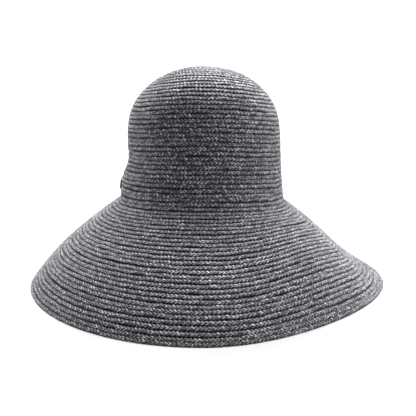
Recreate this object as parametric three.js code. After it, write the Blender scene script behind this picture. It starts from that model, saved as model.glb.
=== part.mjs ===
// A wide-brimmed sun hat sewn from one long flat braid: a tall round crown, a drooping brim, and a small
// plain plate on the left side of the crown.
//
// Millimetres, +Z up. The front faces -Y, and +X is on the right of a viewer who looks at the front. The hat
// stands on its rim, and the origin is on that surface, under the middle of the hat's box.

import * as THREE from 'three';

// Driving dimensions
const hatHeight = 229;      // from the surface up to the tip
const crownArc = 190;       // along the braid wall from the tip to the head line
const brimArc = 142;        // along the braid wall from the head line to the rim, nominal
const wall = 2.6;           // sewn braid, two layers thick where its rows overlap
const seamGap = 0.3;        // clear space between two pieces
const flatsRound = 56;      // flats round the hat, so that one faces each side squarely
const traceStep = 1;        // step of the sum that traces a meridian

// The brim's true width on each side: its rows are eased where the soft brim is drawn in
const brimWidths = { front: 142, right: 144, back: 142, left: 135 };

// How steeply the wall falls, in degrees below level, at distances along it from the tip. The slope changes
// evenly from one row to the next. The rows after arc 190, the head line, are the brim's.
const slopes = [
  { arc: 0, front: 0, right: 0, back: 0, left: 0 },
  { arc: 28, front: 4, right: 15, back: 5, left: 15 },
  { arc: 45, front: 17, right: 28, back: 18, left: 28 },
  { arc: 60, front: 33, right: 39, back: 33, left: 38 },
  { arc: 75, front: 51, right: 51, back: 51, left: 50 },
  { arc: 90, front: 68, right: 66, back: 68, left: 65 },
  { arc: 105, front: 78, right: 80, back: 78, left: 80 },
  { arc: 125, front: 84, right: 88, back: 84, left: 92 },
  { arc: 140, front: 84, right: 87, back: 84, left: 92 },
  { arc: 157, front: 84, right: 86, back: 84, left: 62 },
  { arc: 170, front: 83, right: 85, back: 83, left: 81 },
  { arc: 185, front: 72, right: 85, back: 74, left: 89 },
  { arc: 191, front: 45, right: 61, back: 47, left: 50 },
  { arc: 197, front: 35, right: 39, back: 39, left: 35 },
  { arc: 215, front: 36, right: 39, back: 40, left: 37 },
  { arc: 240, front: 40, right: 42, back: 42, left: 39 },
  { arc: 265, front: 44, right: 45, back: 43, left: 41 },
  { arc: 290, front: 48, right: 39, back: 44, left: 47 },
  { arc: 315, front: 54, right: 31, back: 46, left: 52 },
  { arc: 332, front: 60, right: 29, back: 48, left: 57 },
];

// How each quarter of the soft brim is bent: it bulges upwards by so many millimetres in its middle, half way
// to the rim, and its rim tapers towards the side by a share of the width
const quarters = {
  frontRight: { bulge: 11, taper: 0.26 },
  backRight: { bulge: 4, taper: 0.15 },
  backLeft: { bulge: 2, taper: 0.06 },
  frontLeft: { bulge: 1, taper: 0.03 },
};
const bulgePower = 1.3;     // puts the bulge's top a little nearer the rim than the head line
const taperPower = 1.5;     // the taper grows towards the rim

// Distances along the wall where each piece has a ring of corners
const crownRings = [0, 14, 28, 40, 52, 64, 76, 88, 101, 118, 133, 146, 158, 172, 185];
const brimRings = [194, 200, 216, 236, 258, 280, 300, 317];

// The side plate, seen from outside, and where its middle sits
const plate = {
  length: 21,
  height: 9.5,
  thickness: 1.3,
  standOff: 0.6,            // clear of the wall, where the braid's rows stand proud
  aboveHeadLine: 17,
  angle: -86,               // degrees from the front, to the left
  stepsAlong: 10,
  stepsUp: 4,
};

const hatArc = crownArc + brimArc;
const turn = (2 * Math.PI) / flatsRound;

function slopeAt(arc, side) {
  const next = slopes.findIndex((row) => row.arc >= arc);
  const high = slopes[next];
  const low = slopes[Math.max(next - 1, 0)];
  const share = (arc - low.arc) / Math.max(high.arc - low.arc, 1);
  return THREE.MathUtils.lerp(low[side], high[side], share);
}

// The wall's outer line on one side of the hat: its distance from the crown's axis and its height, at each
// step along it. Below the head line the fall is eased by a few parts in a hundred, so that each side ends on
// the surface.
function traceMeridian(side) {
  const radius = [0];
  const height = [hatHeight];
  for (let arc = traceStep; arc <= hatArc; arc += traceStep) {
    const slope = THREE.MathUtils.degToRad(slopeAt(arc - traceStep / 2, side));
    const length = arc > crownArc ? (traceStep * brimWidths[side]) / brimArc : traceStep;
    radius.push(radius.at(-1) + length * Math.cos(slope));
    height.push(height.at(-1) - length * Math.sin(slope));
  }
  const headLine = height[crownArc / traceStep];
  const easing = headLine / (headLine - height.at(-1));
  const settled = height.map((z) => (z < headLine ? headLine - (headLine - z) * easing : z));
  return { radius, height: settled };
}

const meridians = {
  front: traceMeridian('front'),
  right: traceMeridian('right'),
  back: traceMeridian('back'),
  left: traceMeridian('left'),
};

function readTrace(values, arc) {
  const place = THREE.MathUtils.clamp(arc, 0, hatArc) / traceStep;
  const low = Math.min(Math.floor(place), values.length - 2);
  return THREE.MathUtils.lerp(values[low], values[low + 1], place - low);
}

function quarterAt(across, ahead) {
  if (ahead > 0) return across > 0 ? quarters.frontRight : quarters.frontLeft;
  return across > 0 ? quarters.backRight : quarters.backLeft;
}

// A point of the outer face, at a distance along the wall from the tip and an angle from the front towards
// the right. Each ring is four quarters of ellipses, and its height passes evenly from one side to the next.
// The bulge dies away at the head line, at the rim and at each quarter's ends, so that the whole rim is level.
function outerPoint(arc, angle) {
  const across = Math.sin(angle);
  const ahead = Math.cos(angle);
  const side = across > 0 ? meridians.right : meridians.left;
  const end = ahead > 0 ? meridians.front : meridians.back;
  const quarter = quarterAt(across, ahead);
  const down = THREE.MathUtils.clamp(arc - crownArc, 0, brimArc) / brimArc;
  const roundQuarter = Math.sin(2 * angle) ** 2 * Math.abs(across) * Math.SQRT2;
  const bulge = quarter.bulge * Math.sin(Math.PI * down ** bulgePower) * roundQuarter;
  const taper = 1 - quarter.taper * down ** taperPower * ahead ** 2;
  return new THREE.Vector3(
    readTrace(side.radius, arc) * across * taper,
    -readTrace(end.radius, arc) * ahead,
    readTrace(end.height, arc) * ahead ** 2 + readTrace(side.height, arc) * across ** 2 + bulge,
  );
}

function outwardNormal(arc, angle) {
  if (arc === 0) return new THREE.Vector3(0, 0, 1);
  const smallTurn = 0.01;
  const alongWall = outerPoint(arc + traceStep, angle).sub(outerPoint(arc - traceStep, angle));
  const roundHat = outerPoint(arc, angle + smallTurn).sub(outerPoint(arc, angle - smallTurn));
  return alongWall.cross(roundHat).normalize();
}

function innerPoint(arc, angle) {
  return outerPoint(arc, angle).addScaledVector(outwardNormal(arc, angle), -wall);
}

// The inner corner of the rim, level with the outer one, so that the rim's underside is flat
function levelInnerPoint(arc, angle) {
  const normal = outwardNormal(arc, angle);
  const levelPart = Math.hypot(normal.x, normal.y);
  const inward = new THREE.Vector3(normal.x, normal.y, 0).multiplyScalar(-wall / levelPart ** 2);
  return outerPoint(arc, angle).add(inward);
}

// A closed wall whose corners go round the given profile. The lathe gives the faces, and each of its corners
// then moves to its place on the hat.
function bendLathe(profile) {
  const start = profile.map((corner, index) => new THREE.Vector2(1, index));
  const geometry = new THREE.LatheGeometry(start, flatsRound, turn / 2);
  const positions = geometry.getAttribute('position');
  for (let flat = 0; flat <= flatsRound; flat += 1) {
    const angle = ((flat % flatsRound) + 0.5) * turn;
    profile.forEach((corner, index) => {
      const place = corner.point(corner.arc, angle);
      positions.setXYZ(flat * profile.length + index, place.x, place.y, place.z);
    });
  }
  geometry.computeVertexNormals();
  return geometry;
}

function crownGeometry() {
  const arcs = [...crownRings, crownArc - seamGap / 2];
  const inner = arcs.map((arc) => ({ arc, point: innerPoint }));
  const outer = arcs.map((arc) => ({ arc, point: outerPoint })).reverse();
  return bendLathe([...inner, ...outer]);
}

function brimGeometry() {
  const arcs = [crownArc + seamGap / 2, ...brimRings];
  const inner = arcs.map((arc) => ({ arc, point: innerPoint }));
  const rimCorner = { arc: hatArc, point: levelInnerPoint };
  const outer = [...arcs, hatArc].map((arc) => ({ arc, point: outerPoint })).reverse();
  return bendLathe([...inner, rimCorner, ...outer, inner[0]]);
}

// A flat box bent to the crown: its length runs round the crown, its height up it, its thickness outwards
function sidePlateGeometry() {
  const { length, height, thickness, stepsAlong, stepsUp } = plate;
  const geometry = new THREE.BoxGeometry(length, height, thickness, stepsAlong, stepsUp, 1);
  const positions = geometry.getAttribute('position');
  const middleArc = crownArc - plate.aboveHeadLine;
  const middleAngle = THREE.MathUtils.degToRad(plate.angle);
  const radius = Math.hypot(outerPoint(middleArc, middleAngle).x, outerPoint(middleArc, middleAngle).y);
  const corner = new THREE.Vector3();
  for (let index = 0; index < positions.count; index += 1) {
    corner.fromBufferAttribute(positions, index);
    const arc = middleArc - corner.y;
    const angle = middleAngle + corner.x / radius;
    const away = plate.standOff + thickness / 2 + corner.z;
    const place = outerPoint(arc, angle).addScaledVector(outwardNormal(arc, angle), away);
    positions.setXYZ(index, place.x, place.y, place.z);
  }
  geometry.computeVertexNormals();
  return geometry;
}

function makePiece(name, geometry, colour, roughness) {
  const material = new THREE.MeshStandardMaterial({ color: colour, roughness, metalness: 0 });
  const piece = new THREE.Mesh(geometry, material);
  piece.name = name;
  return piece;
}

const hat = new THREE.Group();
hat.add(makePiece('crown', crownGeometry(), 0x66686c, 0.85));
hat.add(makePiece('brim', brimGeometry(), 0x6c6e72, 0.85));
hat.add(makePiece('side_plate', sidePlateGeometry(), 0x4c4656, 0.5));

const box = new THREE.Box3().setFromObject(hat);
const middle = box.getCenter(new THREE.Vector3());
hat.position.set(-middle.x, -middle.y, -box.min.z);

export default hat;
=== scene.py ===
"""The looks of a wide-brimmed sun hat, sewn in one long spiral from a flat braid of heathered fibre."""

import math

import bpy
import numpy as np
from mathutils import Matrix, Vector


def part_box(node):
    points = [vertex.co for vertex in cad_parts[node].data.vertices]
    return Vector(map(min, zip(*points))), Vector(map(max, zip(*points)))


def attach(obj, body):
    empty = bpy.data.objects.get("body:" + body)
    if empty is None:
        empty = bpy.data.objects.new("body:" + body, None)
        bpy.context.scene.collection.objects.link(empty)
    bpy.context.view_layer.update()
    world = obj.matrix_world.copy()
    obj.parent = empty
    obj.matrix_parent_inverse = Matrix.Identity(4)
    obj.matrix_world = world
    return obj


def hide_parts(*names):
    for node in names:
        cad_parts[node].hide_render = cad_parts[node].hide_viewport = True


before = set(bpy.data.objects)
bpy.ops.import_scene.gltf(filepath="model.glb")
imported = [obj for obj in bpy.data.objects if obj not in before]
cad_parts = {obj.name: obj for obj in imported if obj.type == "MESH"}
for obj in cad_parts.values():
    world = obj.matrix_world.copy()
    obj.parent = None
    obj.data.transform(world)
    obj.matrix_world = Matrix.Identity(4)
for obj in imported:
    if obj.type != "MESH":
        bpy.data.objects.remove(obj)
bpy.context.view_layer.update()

MM = 0.001
TURN = 2 * math.pi

# The hat's shape, in millimetres, as its solids have it
HAT_HEIGHT = 229.0
CROWN_ARC = 190.0       # along the wall from the tip to the head line
BRIM_ARC = 142.0        # along the wall from the head line to the rim
HAT_ARC = CROWN_ARC + BRIM_ARC
FRONT, RIGHT, BACK, LEFT = range(4)
BRIM_WIDTHS = (142.0, 144.0, 142.0, 135.0)      # the brim's true width on each of those sides

# How steeply the wall falls on each side, in degrees below level: arc, front, right, back, left
SLOPES = np.array([
    (0, 0, 0, 0, 0),
    (28, 4, 15, 5, 15),
    (45, 17, 28, 18, 28),
    (60, 33, 39, 33, 38),
    (75, 51, 51, 51, 50),
    (90, 68, 66, 68, 65),
    (105, 78, 80, 78, 80),
    (125, 84, 88, 84, 92),
    (140, 84, 87, 84, 92),
    (157, 84, 86, 84, 62),
    (170, 83, 85, 83, 81),
    (185, 72, 85, 74, 89),
    (191, 45, 61, 47, 50),
    (197, 35, 39, 39, 35),
    (215, 36, 39, 40, 37),
    (240, 40, 42, 42, 39),
    (265, 44, 45, 43, 41),
    (290, 48, 39, 44, 47),
    (315, 54, 31, 46, 52),
    (332, 60, 29, 48, 57),
], float)

# The soft brim's quarters: front right, back right, back left, front left. A quarter bulges upwards by so
# many millimetres in its middle, half way to the rim, and its rim tapers towards the side by a share of
# its width.
BULGES = (11.0, 4.0, 2.0, 1.0)
TAPERS = (0.26, 0.15, 0.06, 0.03)
BULGE_POWER = 1.3       # puts the bulge's top a little nearer the rim than the head line
TAPER_POWER = 1.5       # the taper grows towards the rim
RIM_FLATS = 56          # flats round the solid rim, one of them facing each side

# The rows, in millimetres: each one's lower lip covers the next one's upper edge
ROWS_ABOVE_HEAD_LINE = 42
BRIM_ROWS = 30
CROWN_PITCH = 4.48      # from one row's lip to the next
HEAD_PITCH = 4.7        # the same where the crown passes into the brim
BRIM_PITCH = 4.79
HEAD_LIP = 188.9        # arc of the lip that crosses the front just above the head line
FIRST_BRIM_LIP = HEAD_LIP + HEAD_PITCH
RIM_LIP = HAT_ARC - 0.1
LIP_FROM_CENTRE = 3.0   # from the middle line of the braid to its lip
START_ARC = 1.0         # where the braid's middle line starts, beside the tip
WOBBLE = 0.28           # how unevenly the rows are sewn, both by the hand's breadth and stitch by stitch
SLOW_WOBBLE = 60        # length of braid between two changes of the first kind
QUICK_WOBBLE = 8        # and of the second
STEADY_TURNS = 0.5      # the unevenness dies away over the last half turn
TUCK = 1.5              # how far the braid's end is sewn in under the last row
TUCK_TURNS = 0.6        # the part of a turn over which it goes in
FLOOR_GAP = 0.02        # the rim's lowest points stay this far above the surface that the hat stands on

# The plaiting, in millimetres unless a comment says otherwise
PLAIT = 3.8             # length of braid that one crossing of the strands takes up
STEP = PLAIT / 4        # spacing of the cross-sections along the braid
PLAIT_DRIFT = 0.18      # how far the crossings stray from even spacing, in crossings
PLAIT_KNOT = 30         # length of braid between two changes of that
LOWEST_LUMP = 0.35      # how far the strands stand out where they cross
HIGHEST_LUMP = 0.75
MEAN_LUMP = (LOWEST_LUMP + HIGHEST_LUMP) / 2
INNER_SWELL = -0.5      # on the inside they stand out half as far, towards the wearer
LIP_SWELL = 0.7         # how much further a lip reaches over the next row where it swells
LIP_LUMP = 2.0          # and how much further for each millimetre that its lump is higher than the mean
LEAN = 1.35             # how far a strand's streaks run along the braid for each millimetre across it

# Cross-section of the braid: distance down the wall from its middle line, and outwards from the hat's face
SECTION = np.array([
    (-3.0, -1.60),
    (-1.7, -1.05),
    (-1.1, 0.10),
    (0.8, 0.45),
    (2.5, 0.35),
    (3.0, -0.50),
    (2.7, -1.00),
    (1.2, -1.15),
    (0.2, -1.80),
    (-1.6, -2.20),
])
OUTER_POINTS = 6        # the first points are on the outside, the last of them at the lip
OUTER_MIDDLE = 3        # the section's point in the middle of what shows of a row
INNER_MIDDLE = -0.8     # down the wall, the middle of what shows of a row from inside the hat
INNER_FACE = 6.9        # round the section, from the middle of its outside to the middle of its inside

# The side plate, in millimetres, and its place on the crown
PLATE_LENGTH = 21.0
PLATE_HEIGHT = 9.5
PLATE_THICKNESS = 1.3
PLATE_CORNER = 2.2      # radius of its rounded corners
PLATE_EDGE = 0.35       # radius of its rounded edges
PLATE_STAND_OFF = 0.75  # from the hat's face to the plate's back, where the rows stand proud
PLATE_ARC = CROWN_ARC - 16.0
PLATE_ANGLE = math.radians(-86)
PLATE_RINGS = (0.02, 0.3, 0.6, 0.8, 0.93)       # rings of points on each face, as shares of its outline
OUTLINE_POINTS = 96

# The plate's stitches, in millimetres
THREAD = 0.32           # radius of the thread
STITCH_INSET = 1.9      # from the plate's end in to where a stitch starts
STITCH_LENGTH = 3.4
STITCH_LIFT = 0.55      # how far its middle stands up
STITCH_SUNK = 0.15      # how far it is pulled in
STITCH_ROW = 1.6        # how far above or below the plate's middle

# The studio, in metres
ROOM_LIGHT = 0.14       # how much light the room sends from all round
ROOM_SEEN = 1.0         # how bright its white walls look past the card's edge
CARD_HALF_WIDTH = 1.3
CARD_FRONT = -0.7
CARD_BEND = 2.0         # how far back the card starts to curve up
CARD_RADIUS = 1.0       # of that curve
CARD_TOP = 5.0

# The photo's camera, in millimetres and degrees, worked out from the outline and the ellipses of the rows
CAMERA_DISTANCE = 740.0         # in front of the crown's axis
CAMERA_RIGHT = 4.2              # to the right of it
CAMERA_ABOVE_TIP = 15.4
CAMERA_PITCH = 12.73            # looking down
FOCAL_PIXELS = 691.9
PHOTO_PIXELS = 416
SENSOR = 36.0

# Sockets that share a name with others on their node, by number: those of Map Range and of Mix
FROM_LOW, FROM_HIGH, TO_LOW, TO_HIGH = 1, 2, 3, 4
SHARE, COLOUR_A, COLOUR_B, MIXED = 0, 6, 7, 2

ARC_STEPS = np.arange(0.0, HAT_ARC + 1.0)

rng = np.random.default_rng(4010)


def trace_meridian(side):
    """Radius and height of the outer line on one side, at each millimetre along it. The radius is the sum
    of the steps times the cosine of the slope, and the fall the sum of the steps times its sine. Below the
    head line the fall is eased so that the rim ends on the surface."""
    middle = (ARC_STEPS[1:] + ARC_STEPS[:-1]) / 2
    slope = np.radians(np.interp(middle, SLOPES[:, 0], SLOPES[:, 1 + side]))
    length = np.where(middle > CROWN_ARC, BRIM_WIDTHS[side] / BRIM_ARC, 1.0)
    radius = np.concatenate([[0.0], np.cumsum(length * np.cos(slope))])
    fall = np.concatenate([[0.0], np.cumsum(length * np.sin(slope))])
    head = fall[int(CROWN_ARC)]
    easing = (HAT_HEIGHT - head) / (fall[-1] - head)
    fall = np.where(fall > head, head + (fall - head) * easing, fall)
    return radius, HAT_HEIGHT - fall


MERIDIANS = [trace_meridian(side) for side in (FRONT, RIGHT, BACK, LEFT)]


def crown_axis():
    """Where the crown's axis stands, from the box of the solid brim and the radius of its rim. The box
    ends at the middle of a flat, which is nearer the axis than the flat's ends by the cosine of half its
    turn."""
    to_flat = math.cos(TURN / RIM_FLATS / 2)
    far_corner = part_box("brim")[1]
    right, back = (MERIDIANS[side][0][-1] * to_flat for side in (RIGHT, BACK))
    return far_corner.x / MM - right, far_corner.y / MM - back


AXIS_X, AXIS_Y = crown_axis()


def folded(arc, angle):
    """A place past the tip is the same distance from it on the opposite side."""
    return np.abs(arc), np.where(arc < 0, angle + math.pi, angle)


def hat_face(arc, angle):
    """Points of the hat's outer face, at a distance along the wall from the tip and an angle from the front
    towards the right. Each ring is four quarters of ellipses. Its height passes from one side's to the next
    with the square of the sine. Below the head line a quarter bulges by a sine of the way down, and tapers
    towards its side with the square of the cosine."""
    arc, angle = np.broadcast_arrays(*folded(arc, angle))
    across, ahead = np.sin(angle), np.cos(angle)
    radius = [np.interp(arc, ARC_STEPS, line[0]) for line in MERIDIANS]
    height = [np.interp(arc, ARC_STEPS, line[1]) for line in MERIDIANS]
    at_right, at_front = across > 0, ahead > 0
    side_radius = np.where(at_right, radius[RIGHT], radius[LEFT])
    side_height = np.where(at_right, height[RIGHT], height[LEFT])
    end_radius = np.where(at_front, radius[FRONT], radius[BACK])
    end_height = np.where(at_front, height[FRONT], height[BACK])
    quarter = np.where(at_front, np.where(at_right, 0, 3), np.where(at_right, 1, 2))
    down = np.clip(arc - CROWN_ARC, 0, BRIM_ARC) / BRIM_ARC
    round_quarter = np.sin(2 * angle) ** 2 * np.abs(across) * math.sqrt(2)
    bulge = np.array(BULGES)[quarter] * np.sin(math.pi * down**BULGE_POWER) * round_quarter
    taper = 1 - np.array(TAPERS)[quarter] * down**TAPER_POWER * ahead**2
    return np.stack([
        AXIS_X + side_radius * across * taper,
        AXIS_Y - end_radius * ahead,
        end_height * ahead**2 + side_height * across**2 + bulge,
    ], axis=-1)


def off_face(arc, angle, outwards):
    """Points at a distance outwards from the hat's face, along its normal: the cross product of the way
    down the wall and the way round the hat, each measured over a short stretch. At the tip and the rim
    the stretch lies a little further in."""
    small_arc, small_angle = 1.0, 0.01
    point = hat_face(arc, angle)
    arc, angle = folded(arc, angle)
    arc = np.clip(arc, 1.5 * small_arc, HAT_ARC - small_arc)
    down = hat_face(arc + small_arc, angle) - hat_face(arc - small_arc, angle)
    onward = hat_face(arc, angle + small_angle) - hat_face(arc, angle - small_angle)
    normal = np.cross(down, onward)
    normal /= np.linalg.norm(normal, axis=-1, keepdims=True)
    return point + normal * np.asarray(outwards)[..., None]


def travelled(path):
    """Distance along a path of points, at each of them."""
    return np.concatenate([[0], np.cumsum(np.linalg.norm(np.diff(path, axis=0), axis=1))])


def uneven(length, knot, amount):
    """A random drift along a length: random values at evenly spaced knots, joined by straight lines."""
    knots = np.arange(0, length[-1] + 2 * knot, knot)
    return np.interp(length, knots, rng.normal(0, amount, len(knots)))


def lip_arc(turns):
    """Arc of the lip after a number of turns, counted from the front at the head line: one pitch more for
    each turn, until it reaches the rim and runs along it."""
    table_turns = (-ROWS_ABOVE_HEAD_LINE, 0.0, 1.0, 1.0 + BRIM_ROWS)
    table_arcs = (
        HEAD_LIP - CROWN_PITCH * ROWS_ABOVE_HEAD_LINE,
        HEAD_LIP,
        FIRST_BRIM_LIP,
        FIRST_BRIM_LIP + BRIM_ROWS * BRIM_PITCH,
    )
    return np.minimum(np.interp(turns, table_turns, table_arcs), RIM_LIP)


def lay_braid():
    """The braid's middle line at even steps of its own length, sewn a little unevenly from the tip to the
    rim and once round along it. Returns the length, the turns and the arc of each step."""
    places_each_turn = 100
    path_points = 120_000
    above = np.linspace(-ROWS_ABOVE_HEAD_LINE, 0, places_each_turn * ROWS_ABOVE_HEAD_LINE + 1)
    start = np.interp(LIP_FROM_CENTRE + START_ARC, lip_arc(above), above)
    reaches_rim = 1 + (RIM_LIP - FIRST_BRIM_LIP) / BRIM_PITCH
    turns = np.linspace(start, reaches_rim + 1.0, path_points)
    along = travelled(hat_face(lip_arc(turns) - LIP_FROM_CENTRE, turns * TURN))
    length = np.arange(0, along[-1], STEP)
    turns = np.interp(length, along, turns)
    wobble = uneven(length, SLOW_WOBBLE, WOBBLE) + uneven(length, QUICK_WOBBLE, WOBBLE)
    steady = np.minimum(1, (turns[-1] - turns) / STEADY_TURNS)
    return length, turns, lip_arc(turns) - LIP_FROM_CENTRE + steady * wobble


LENGTH, TURNS, MIDDLE_ARC = lay_braid()

# Crossings counted along the braid: their spacing drifts, as a machine's plaiting does. Each has a lump in
# the lower half of the row and one in the upper half, and the chevrons need a few past the braid's end.
PLAITS = LENGTH / PLAIT + uneven(LENGTH, PLAIT_KNOT, PLAIT_DRIFT)
LUMPS = rng.uniform(LOWEST_LUMP, HIGHEST_LUMP, (2, int(PLAITS[-1]) + 4))

# Distance round the section to each of its points and back to the first, from the middle of what shows
ROUND_SECTION = travelled(np.vstack([SECTION, SECTION[:1]]))
ROUND_SECTION -= ROUND_SECTION[OUTER_MIDDLE]


def braid_strip(first, last):
    """Corners of a stretch of braid, and the crossings counted at each: the cross-section carried along
    the middle line. The strands cross in chevrons, so each crossing runs on from the middle of a row to
    both its edges, a millimetre along the braid for each one across it, and it swells by a cosine of the
    crossings counted. The lip reaches further where it swells and where its lump is high. The braid's end
    goes under the row above by the square of the way in. The count that is returned leans more, for the
    streaks of the yarn."""
    steps = slice(first, last + 1)
    turns = TURNS[steps, None]
    down, outwards = SECTION[:, 0][None, :], SECTION[:, 1][None, :]
    point = np.arange(len(SECTION))[None, :]
    inside = point >= OUTER_POINTS
    lip = (point == OUTER_POINTS - 1) | (point == OUTER_POINTS)
    from_middle = down - np.where(inside, INNER_MIDDLE, SECTION[OUTER_MIDDLE, 0])

    crossing = PLAITS[steps, None] + np.abs(from_middle) / PLAIT
    which = np.clip(np.round(crossing).astype(int), 0, LUMPS.shape[1] - 1)
    lump = np.where(from_middle > 0, LUMPS[0][which], LUMPS[1][which])
    swell = np.cos(TURN * crossing)
    swollen = outwards + np.where(inside, INNER_SWELL, 1.0) * lump * swell
    reach = down + np.where(lip, LIP_SWELL * swell + LIP_LUMP * (lump - MEAN_LUMP), 0.0)
    under = TUCK * np.clip(1 - (TURNS[-1] - turns) / TUCK_TURNS, 0, 1) ** 2

    corners = off_face(MIDDLE_ARC[steps, None] + reach, turns * TURN, swollen - under)
    corners[..., 2] = np.maximum(corners[..., 2], FLOOR_GAP)
    strand = PLAITS[steps, None] + LEAN * np.abs(from_middle) / PLAIT
    return corners, strand


def tube_faces(rings, points, clockwise=False):
    """Four-cornered faces of a closed tube, looking outwards: between each ring of corners and the next,
    and over both ends. Seen along the tube, the rings turn anticlockwise, or clockwise where it says so."""
    corner = np.arange(rings * points).reshape(rings, points)
    beside = np.roll(corner, -1, axis=1)
    pair = np.arange(points // 2 - 1)
    cap = np.stack([pair, pair + 1, points - 2 - pair, points - 1 - pair], -1)
    if clockwise:
        sides = np.stack([corner[:-1], beside[:-1], beside[1:], corner[1:]], -1)
        cap = cap[:, ::-1]
    else:
        sides = np.stack([corner[:-1], corner[1:], beside[1:], beside[:-1]], -1)
    return np.concatenate([sides.reshape(-1, 4), cap, cap[:, ::-1] + corner[-1, 0]])


def mesh_piece(name, corners, faces, material, maps=()):
    """Puts corners in metres and four-cornered faces into a new object, with its named maps."""
    mesh = bpy.data.meshes.new(name)
    mesh.vertices.add(len(corners))
    mesh.vertices.foreach_set("co", np.asarray(corners, np.float32).ravel())
    mesh.loops.add(faces.size)
    mesh.loops.foreach_set("vertex_index", faces.ravel().astype(np.int32))
    mesh.polygons.add(len(faces))
    mesh.polygons.foreach_set("loop_start", np.arange(0, faces.size, 4, dtype=np.int32))
    mesh.polygons.foreach_set("use_smooth", np.ones(len(faces), bool))
    for map_name, places in dict(maps).items():
        layer = mesh.uv_layers.new(name=map_name)
        layer.data.foreach_set("uv", np.asarray(places, np.float32).ravel())
    mesh.update(calc_edges=True)
    mesh.materials.append(material)
    piece = bpy.data.objects.new(name, mesh)
    bpy.context.scene.collection.objects.link(piece)
    return piece


def face_places(four_across, four_up):
    """Places in a map for the four corners of every face, from the two coordinates of each corner."""
    places = [np.stack(np.broadcast_arrays(u, v), -1) for u, v in zip(four_across, four_up)]
    return np.stack(places, axis=2).reshape(-1, 2)


def pattern_places(crossing, caps):
    """Places in the map named braid: crossings along the braid, and millimetres down the row from its
    middle, on the inside as on the outside. The small faces over the ends share one place."""
    along = np.concatenate([crossing, crossing[:, :1]], axis=1)
    this, following = along[:-1], along[1:]
    inside = np.arange(len(SECTION)) >= OUTER_POINTS
    near = np.where(inside, INNER_FACE - ROUND_SECTION[:-1], ROUND_SECTION[:-1])
    far = np.where(inside, INNER_FACE - ROUND_SECTION[1:], ROUND_SECTION[1:])
    sides = face_places(
        (this[:, :-1], this[:, 1:], following[:, 1:], following[:, :-1]),
        (near, far, far, near),
    )
    end_place = (0.25, 0.0)
    return np.concatenate([sides, np.tile(end_place, (4 * caps, 1))])


def bake_places(steps, caps):
    """Places in the bake map: the tube laid flat and cut into strips, one above the other, as many as make
    the map about square. A strip's margins are shares of its height. The small faces over the ends are
    squares in the room that is left at the end of the last strip, and their sizes are in steps."""
    margin = 0.05
    strip_girths = 1.1
    spare_steps = 4
    girth = ROUND_SECTION[-1] - ROUND_SECTION[0]
    strips = max(1, round(math.sqrt(steps * STEP / (girth * strip_girths))))
    in_strip = math.ceil((steps + spare_steps) / strips)
    index = np.arange(steps - 1)
    strip, place = (index // in_strip)[:, None], (index % in_strip)[:, None]
    share = (ROUND_SECTION - ROUND_SECTION[0]) / girth
    low = (strip + margin + (1 - 2 * margin) * share[:-1]) / strips
    high = (strip + margin + (1 - 2 * margin) * share[1:]) / strips
    start, end = place / in_strip, (place + 1) / in_strip
    sides = face_places((start, start, end, end), (low, high, high, low))

    side, spacing, from_end, half_strip = 0.3, 0.4, 2.5, 0.5
    square = np.array([(0, 0), (1, 0), (1, 1), (0, 1)]) * side / in_strip
    first_square = np.array([1 - from_end / in_strip, 1 - half_strip / strips])
    upwards = np.arange(caps)[:, None, None] * (0, spacing / in_strip)
    return np.concatenate([sides, (first_square + square + upwards).reshape(-1, 2)])


def braid_piece(name, first, last, material):
    """A stretch of braid as a closed tube, with its maps for the pattern and for baking."""
    corners, crossing = braid_strip(first, last)
    steps, points = crossing.shape
    faces = tube_faces(steps, points, clockwise=True)
    caps = len(faces) - (steps - 1) * points
    maps = {"braid": pattern_places(crossing, caps), "OFBake": bake_places(steps, caps)}
    return mesh_piece(name, corners.reshape(-1, 3) * MM, faces, material, maps)


def on_crown_side(along, up, outwards):
    """Points near the side plate: millimetres to the right of its middle, seen from outside, above it,
    and out from the hat's face."""
    middle = hat_face(np.array(PLATE_ARC), np.array(PLATE_ANGLE))
    radius = math.hypot(middle[0] - AXIS_X, middle[1] - AXIS_Y)
    return off_face(PLATE_ARC - up, PLATE_ANGLE + along / radius, outwards)


def plate_outline():
    """The plate's outline at even steps round it: a rectangle with quarter circles at its corners."""
    fine = 64
    sweep = np.linspace(0, TURN, fine, endpoint=False) + TURN / fine / 2
    turning = np.stack([
        np.sign(np.cos(sweep)) * (PLATE_LENGTH / 2 - PLATE_CORNER) + PLATE_CORNER * np.cos(sweep),
        np.sign(np.sin(sweep)) * (PLATE_HEIGHT / 2 - PLATE_CORNER) + PLATE_CORNER * np.sin(sweep),
    ], -1)
    turning = np.vstack([turning, turning[:1]])
    round_edge = travelled(turning)
    even = np.linspace(0, round_edge[-1], OUTLINE_POINTS, endpoint=False)
    return np.stack([np.interp(even, round_edge, turning[:, i]) for i in (0, 1)], -1)


def side_plate_piece(material):
    """A thin plate with rounded corners and edges: its outline, shrunk ring by ring towards the middle of
    both faces and drawn in by a quarter circle at the edges, then bent to the crown."""
    edge_rings = 4
    edge = np.linspace(0, math.pi / 2, edge_rings)
    inset = PLATE_EDGE * (1 - np.sin(edge))
    level = PLATE_THICKNESS - PLATE_EDGE * (1 - np.cos(edge))
    rings = [(share, 0.0, PLATE_THICKNESS) for share in PLATE_RINGS]
    rings += [(1.0, i, z) for i, z in zip(inset, level)]
    rings += [(1.0, i, PLATE_THICKNESS - z) for i, z in zip(inset[::-1], level[::-1])]
    rings += [(share, 0.0, 0.0) for share in PLATE_RINGS[::-1]]
    share, inset, level = (np.array(column)[:, None] for column in zip(*rings))
    outline = plate_outline()
    along = outline[None, :, 0] * share * (1 - inset / (PLATE_LENGTH / 2))
    up = outline[None, :, 1] * share * (1 - inset / (PLATE_HEIGHT / 2))
    outwards = np.broadcast_to(level + PLATE_STAND_OFF, along.shape)
    corners = on_crown_side(along, up, outwards).reshape(-1, 3) * MM
    return mesh_piece("plate_on_crown", corners, tube_faces(len(rings), len(outline)), material)


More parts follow.
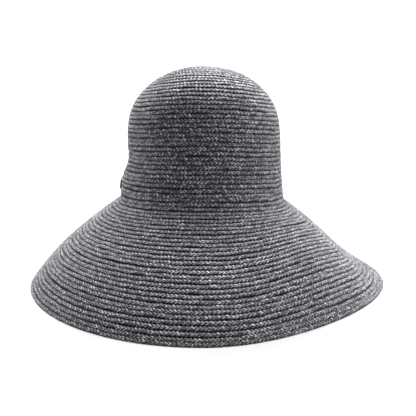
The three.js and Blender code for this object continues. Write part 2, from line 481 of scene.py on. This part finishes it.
def stitch_piece(name, end, row, material):
    """One stitch over an end of the plate: a round thread that falls from the plate's face to the braid
    beside it, by the square root of the way left, and is raised by half a wave and pulled in."""
    steps, thread_sides = 17, 8
    share = np.linspace(0, 1, steps)
    along = end * (PLATE_LENGTH / 2 - STITCH_INSET + STITCH_LENGTH * share)
    above_back = PLATE_THICKNESS * (1 - share) ** 0.5
    lift = PLATE_STAND_OFF + above_back + STITCH_LIFT * np.sin(math.pi * share) - STITCH_SUNK
    path = on_crown_side(along, np.full_like(along, row), lift)
    way = np.gradient(path, axis=0)
    way /= np.linalg.norm(way, axis=1, keepdims=True)
    sideways = np.cross(way, (0.0, 0.0, 1.0))
    sideways /= np.linalg.norm(sideways, axis=1, keepdims=True)
    upwards = np.cross(sideways, way)
    spin = np.linspace(0, TURN, thread_sides, endpoint=False)[None, :, None]
    ring = np.cos(spin) * sideways[:, None] + np.sin(spin) * upwards[:, None]
    corners = (path[:, None] + THREAD * ring).reshape(-1, 3) * MM
    return mesh_piece(name, corners, tube_faces(steps, thread_sides), material)


def linear(code):
    """An sRGB hex colour as linear light, by the standard's curve."""
    parts = [int(code[i:i + 2], 16) / 255 for i in (1, 3, 5)]
    return [p / 12.92 if p <= 0.04045 else ((p + 0.055) / 1.055) ** 2.4 for p in parts] + [1.0]


def add(tree, kind, inputs=(), **settings):
    """Adds a node with its settings, and gives each of its inputs a value or a link. A node given as an
    input stands for its first output."""
    node = tree.nodes.new(kind)
    for name, value in settings.items():
        setattr(node, name, value)
    for key, value in dict(inputs).items():
        source = value.outputs[0] if isinstance(value, bpy.types.Node) else value
        if isinstance(source, bpy.types.NodeSocket):
            tree.links.new(source, node.inputs[key])
        else:
            node.inputs[key].default_value = source
    return node


def new_material(name):
    """An empty node material and its node tree."""
    material = bpy.data.materials.new(name)
    material.use_nodes = True
    tree = material.node_tree
    tree.nodes.clear()
    return material, tree


def heathered_fibre_braid(name, shade_from, shade_to, brightest):
    """Fibre braid: dyed charcoal yarn spun with pale fibres, then plaited flat. Each strand shows as a
    short slanted lump with streaks along it. Shade is painted into its colour: dark between the lumps and
    nearly black at a row's edges, where it comes out from under its neighbour and turns in at its lip. The
    painted shade under the lip starts and ends at so many millimetres below the row's middle, less where
    the rows are sewn closer. The palest lumps are so many times as bright as the yarn."""
    material, tree = new_material(name)
    place = add(tree, "ShaderNodeUVMap", uv_map="braid")
    split = add(tree, "ShaderNodeSeparateXYZ", {0: place})
    crossing, across = split.outputs[0], split.outputs[1]

    # One tone for each strand's lump: its number along the braid, and the half of the row that it is in
    number = add(tree, "ShaderNodeMath", {0: crossing}, operation="ROUND")
    half = add(tree, "ShaderNodeMath", {0: across, 1: 0.0}, operation="GREATER_THAN")
    lump = add(tree, "ShaderNodeCombineXYZ", {0: number, 1: half, 2: 0.5})
    lump_tone = add(tree, "ShaderNodeTexWhiteNoise", {0: lump}, noise_dimensions="3D")
    tone = add(tree, "ShaderNodeMapRange", {0: lump_tone, TO_LOW: 0.4, TO_HIGH: brightest})

    # Streaks run along the strands, which the map leans: 2.3 to each crossing and 0.55 to each millimetre
    # across make them about 1 mm wide and 3 mm long. That is twice a real bundle of fibres, so that they
    # show from where the hat is seen. The row's two halves are far apart in the noise, so they don't join.
    along = add(tree, "ShaderNodeMath", {0: crossing, 1: 2.3}, operation="MULTIPLY")
    slow = add(tree, "ShaderNodeMath", {0: across, 1: 0.55}, operation="MULTIPLY")
    apart = add(tree, "ShaderNodeMath", {0: half, 1: 17.3}, operation="MULTIPLY")
    streak_place = add(tree, "ShaderNodeCombineXYZ", {0: along, 1: slow, 2: apart})
    streak = add(tree, "ShaderNodeTexNoise",
                 {0: streak_place, "Scale": 1.0, "Detail": 2.0, "Roughness": 0.6}, noise_dimensions="3D")
    fleck_place = add(tree, "ShaderNodeVectorMath", {0: streak_place, 1: (31.7, 9.1, 4.3)},
                      operation="ADD")
    fleck = add(tree, "ShaderNodeTexNoise",
                {0: fleck_place, "Scale": 1.15, "Detail": 1.0}, noise_dimensions="3D")

    # Dark and middling fibres side by side, with pale ones laid over them in flecks
    middling = add(tree, "ShaderNodeMapRange", {0: streak, FROM_LOW: 0.42, FROM_HIGH: 0.56},
                   interpolation_type="SMOOTHSTEP")
    body = add(tree, "ShaderNodeMix",
               {SHARE: middling, COLOUR_A: linear("#222328"), COLOUR_B: linear("#76777e")},
               data_type="RGBA")
    pale = add(tree, "ShaderNodeMapRange", {0: fleck, FROM_LOW: 0.51, FROM_HIGH: 0.59},
               interpolation_type="SMOOTHSTEP")
    pale_share = add(tree, "ShaderNodeMath", {0: pale, 1: 0.95}, operation="MULTIPLY")
    heather = add(tree, "ShaderNodeMix",
                  {SHARE: pale_share, COLOUR_A: body.outputs[MIXED], COLOUR_B: linear("#cfd1d9")},
                  data_type="RGBA")
    toned = add(tree, "ShaderNodeVectorMath", {0: heather.outputs[MIXED], "Scale": tone},
                operation="SCALE")

    # Painted shade: between two lumps, and where the row goes under its neighbour, little light reaches the
    #     fibre, so its colour is darkened there. Both edges of this painted shade are scalloped by half a
    #     millimetre, with the lumps.
    turned = add(tree, "ShaderNodeMath", {0: crossing, 1: TURN}, operation="MULTIPLY")
    swell = add(tree, "ShaderNodeMath", {0: turned}, operation="COSINE")
    between = add(tree, "ShaderNodeMapRange",
                  {0: swell, FROM_LOW: -0.95, FROM_HIGH: 0.1, TO_LOW: 0.05, TO_HIGH: 1.0})
    scallop = add(tree, "ShaderNodeMath", {0: swell, 1: 0.5}, operation="MULTIPLY")
    from_top = add(tree, "ShaderNodeMath", {0: across, 1: scallop}, operation="ADD")
    from_lip = add(tree, "ShaderNodeMath", {0: across, 1: scallop}, operation="SUBTRACT")
    painted_shade_row_top = add(tree, "ShaderNodeMapRange",
                {0: from_top, FROM_LOW: -2.5, FROM_HIGH: -1.0, TO_LOW: 0.03, TO_HIGH: 1.0},
                interpolation_type="SMOOTHSTEP")
    painted_shade_under_lip = add(tree, "ShaderNodeMapRange",
                {0: from_lip, FROM_LOW: shade_from, FROM_HIGH: shade_to, TO_LOW: 1.0, TO_HIGH: 0.03},
                interpolation_type="SMOOTHSTEP")
    edges = add(tree, "ShaderNodeMath", {0: painted_shade_row_top, 1: painted_shade_under_lip}, operation="MULTIPLY")
    shade = add(tree, "ShaderNodeMath", {0: edges, 1: between}, operation="MULTIPLY")
    # The yarn's colour, darkened by the painted shade
    colour = add(tree, "ShaderNodeVectorMath", {0: toned, "Scale": shade}, operation="SCALE")

    # Fibres stand out by up to a quarter of a millimetre, and the paler ones are a little glossier
    relief = add(tree, "ShaderNodeMath", {0: streak, 1: fleck}, operation="ADD")
    bump = add(tree, "ShaderNodeBump", {"Strength": 0.7, "Distance": 0.25 * MM, "Height": relief})
    dryness = add(tree, "ShaderNodeMapRange", {0: streak, TO_LOW: 0.75, TO_HIGH: 0.5})
    surface = add(tree, "ShaderNodeBsdfPrincipled", {
        "Base Color": colour,
        "Roughness": dryness,
        "Normal": bump,
        "Sheen Weight": 0.25,
        "Sheen Roughness": 0.4,
        "Specular IOR Level": 0.5,
    })
    add(tree, "ShaderNodeOutputMaterial", {0: surface})
    return material


def dulled_acetate():
    """Acetate sheet, cut and polished, then dulled by handling: dark purple-grey, satin, with faint
    mottling a few millimetres across."""
    material, tree = new_material("dulled_acetate")
    place = add(tree, "ShaderNodeTexCoord").outputs["Object"]
    mottle = add(tree, "ShaderNodeTexNoise", {0: place, "Scale": 260.0, "Detail": 3.0})
    colour = add(tree, "ShaderNodeMix",
                 {SHARE: mottle, COLOUR_A: linear("#2b2633"), COLOUR_B: linear("#3f394a")},
                 data_type="RGBA")
    wear = add(tree, "ShaderNodeMapRange", {0: mottle, TO_LOW: 0.28, TO_HIGH: 0.42})
    bump = add(tree, "ShaderNodeBump", {"Strength": 0.15, "Distance": 0.1 * MM, "Height": mottle})
    surface = add(tree, "ShaderNodeBsdfPrincipled", {
        "Base Color": colour.outputs[MIXED],
        "Roughness": wear,
        "Normal": bump,
        "IOR": 1.48,
    })
    add(tree, "ShaderNodeOutputMaterial", {0: surface})
    return material


def waxed_polyester_thread():
    """Waxed polyester thread: charcoal, twisted, with a dull shine. Its mottling is about 0.4 mm across,
    as its twist is."""
    material, tree = new_material("waxed_polyester_thread")
    place = add(tree, "ShaderNodeTexCoord").outputs["Object"]
    twist = add(tree, "ShaderNodeTexNoise", {0: place, "Scale": 2500.0})
    colour = add(tree, "ShaderNodeMix",
                 {SHARE: twist, COLOUR_A: linear("#26272a"), COLOUR_B: linear("#55565b")},
                 data_type="RGBA")
    surface = add(tree, "ShaderNodeBsdfPrincipled",
                  {"Base Color": colour.outputs[MIXED], "Roughness": 0.5})
    add(tree, "ShaderNodeOutputMaterial", {0: surface})
    return material


def white_studio_card():
    """Painted card: a pale, matt sweep that takes soft shadows."""
    material, tree = new_material("white_studio_card")
    surface = add(tree, "ShaderNodeBsdfPrincipled", {"Base Color": linear("#bebebe"), "Roughness": 0.9})
    add(tree, "ShaderNodeOutputMaterial", {0: surface})
    return material


def build_hat():
    """Makes each piece, and hides the solid that a braid piece or the plate stands for. The braid is cut
    half a turn above the head line, and makes two pieces on the crown and three on the brim. The crown's
    rows are sewn closer."""
    # The crown's copy of the braid material starts the painted shade under each lip nearer the row's
    # middle, and paints its lumps paler
    braid = {
        "crown": heathered_fibre_braid(
            "heathered_fibre_braid_wider_painted_shade", shade_from=0.5, shade_to=1.7, brightest=1.5),
        "brim": heathered_fibre_braid(
            "heathered_fibre_braid", shade_from=0.8, shade_to=2.1, brightest=1.32),
    }
    half_turn_above = -0.5
    head_line = int(np.searchsorted(TURNS, half_turn_above))
    cuts = [0, head_line // 2]
    cuts += list(np.linspace(head_line, len(LENGTH) - 1, 4).astype(int))
    names = (
        "crown_braid_top",
        "crown_braid_side",
        "brim_braid_inner",
        "brim_braid_middle",
        "brim_braid_rim",
    )
    for name, first, last in zip(names, cuts[:-1], cuts[1:]):
        solid = name.split("_")[0]
        piece = braid_piece(name, first, last, braid[solid])
        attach(piece, "root")
        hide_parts(solid)

    plate = side_plate_piece(dulled_acetate())
    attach(plate, "root")
    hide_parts("side_plate")
    thread = waxed_polyester_thread()
    for name, end, row in (
        ("stitch_front_high", 1, STITCH_ROW),
        ("stitch_front_low", 1, -STITCH_ROW),
        ("stitch_back_high", -1, STITCH_ROW),
        ("stitch_back_low", -1, -STITCH_ROW),
    ):
        stitch = stitch_piece(name, end, row, thread)
        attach(stitch, "root")


def studio_sweep():
    """A card that lies under the hat, curves up behind it by a quarter circle and rises straight."""
    flat_points, bend_points = 9, 17
    width = np.linspace(-CARD_HALF_WIDTH, CARD_HALF_WIDTH, flat_points)
    lie = np.linspace(CARD_FRONT, CARD_BEND, flat_points)
    bend = np.linspace(0, math.pi / 2, bend_points)[1:]
    rise = np.linspace(CARD_RADIUS, CARD_TOP, flat_points)[1:]
    back = np.full(len(rise), CARD_BEND + CARD_RADIUS)
    depth = np.concatenate([lie, CARD_BEND + CARD_RADIUS * np.sin(bend), back])
    height = np.concatenate([np.zeros(len(lie)), CARD_RADIUS * (1 - np.cos(bend)), rise])
    corners = np.stack(np.broadcast_arrays(width, depth[:, None], height[:, None]), -1).reshape(-1, 3)
    row = np.arange(len(depth) - 1)[:, None] * len(width)
    first = (row + np.arange(len(width) - 1)[None, :]).ravel()
    faces = np.stack([first, first + 1, first + len(width) + 1, first + len(width)], -1)
    mesh_piece("studio_sweep", corners, faces, white_studio_card())


def soft_white_room():
    """A world that sends a little light from all round, and looks white to the camera."""
    world = bpy.data.worlds.new("soft_white_room")
    world.use_nodes = True
    room = world.node_tree
    room.nodes.clear()
    seen = add(room, "ShaderNodeLightPath").outputs["Is Camera Ray"]
    strength = add(room, "ShaderNodeMapRange", {0: seen, TO_LOW: ROOM_LIGHT, TO_HIGH: ROOM_SEEN})
    white = add(room, "ShaderNodeBackground", {"Color": linear("#ffffff"), "Strength": strength})
    add(room, "ShaderNodeOutputWorld", {0: white})
    bpy.context.scene.world = world
    bpy.context.scene.view_settings.view_transform = "Standard"


def lamps():
    """Square soft lamps: one above and behind the hat, one at each side, one above the front, and a wide
    one that lights the card behind. After a lamp's name come its place, the point that it is aimed at and
    its width, in metres, and its power in watts."""
    for name, place, aimed_at, width, power in (
        ("lamp_above", (-0.1, 0.8, 1.8), (0, 0, 0.1), 1.2, 48.5),
        ("lamp_left", (-1.5, 0.4, 0.3), (0, 0, 0.15), 0.8, 10.5),
        ("lamp_right", (1.2, 0.15, 0.9), (0, 0, 0.1), 0.4, 10.5),
        ("lamp_front", (0.3, -0.7, 2.1), (0, 0, 0.1), 0.3, 14.8),
        ("lamp_on_backdrop", (0.0, 1.2, 2.4), (0, 3.0, 0.7), 2.0, 150.0),
    ):
        light = bpy.data.lights.new(name, "AREA")
        light.size = width
        light.energy = power
        lamp = bpy.data.objects.new(name, light)
        lamp.location = place
        aim = Vector(aimed_at) - lamp.location
        lamp.rotation_euler = aim.to_track_quat("-Z", "Y").to_euler()
        bpy.context.scene.collection.objects.link(lamp)


def photo_camera():
    """The photo's camera, a little above the tip and looking down on the brim. Its focal length in
    pixels, over the photo's width, becomes millimetres on the sensor."""
    view = bpy.data.cameras.new("photo_camera")
    view.sensor_width = SENSOR
    view.lens = FOCAL_PIXELS / PHOTO_PIXELS * view.sensor_width
    watcher = bpy.data.objects.new("photo_camera", view)
    watcher.location = (
        (AXIS_X + CAMERA_RIGHT) * MM,
        (AXIS_Y - CAMERA_DISTANCE) * MM,
        (HAT_HEIGHT + CAMERA_ABOVE_TIP) * MM,
    )
    watcher.rotation_euler = (math.radians(90 - CAMERA_PITCH), 0, 0)
    bpy.context.scene.collection.objects.link(watcher)
    bpy.context.scene.camera = watcher


build_hat()
studio_sweep()
soft_white_room()
lamps()
photo_camera()
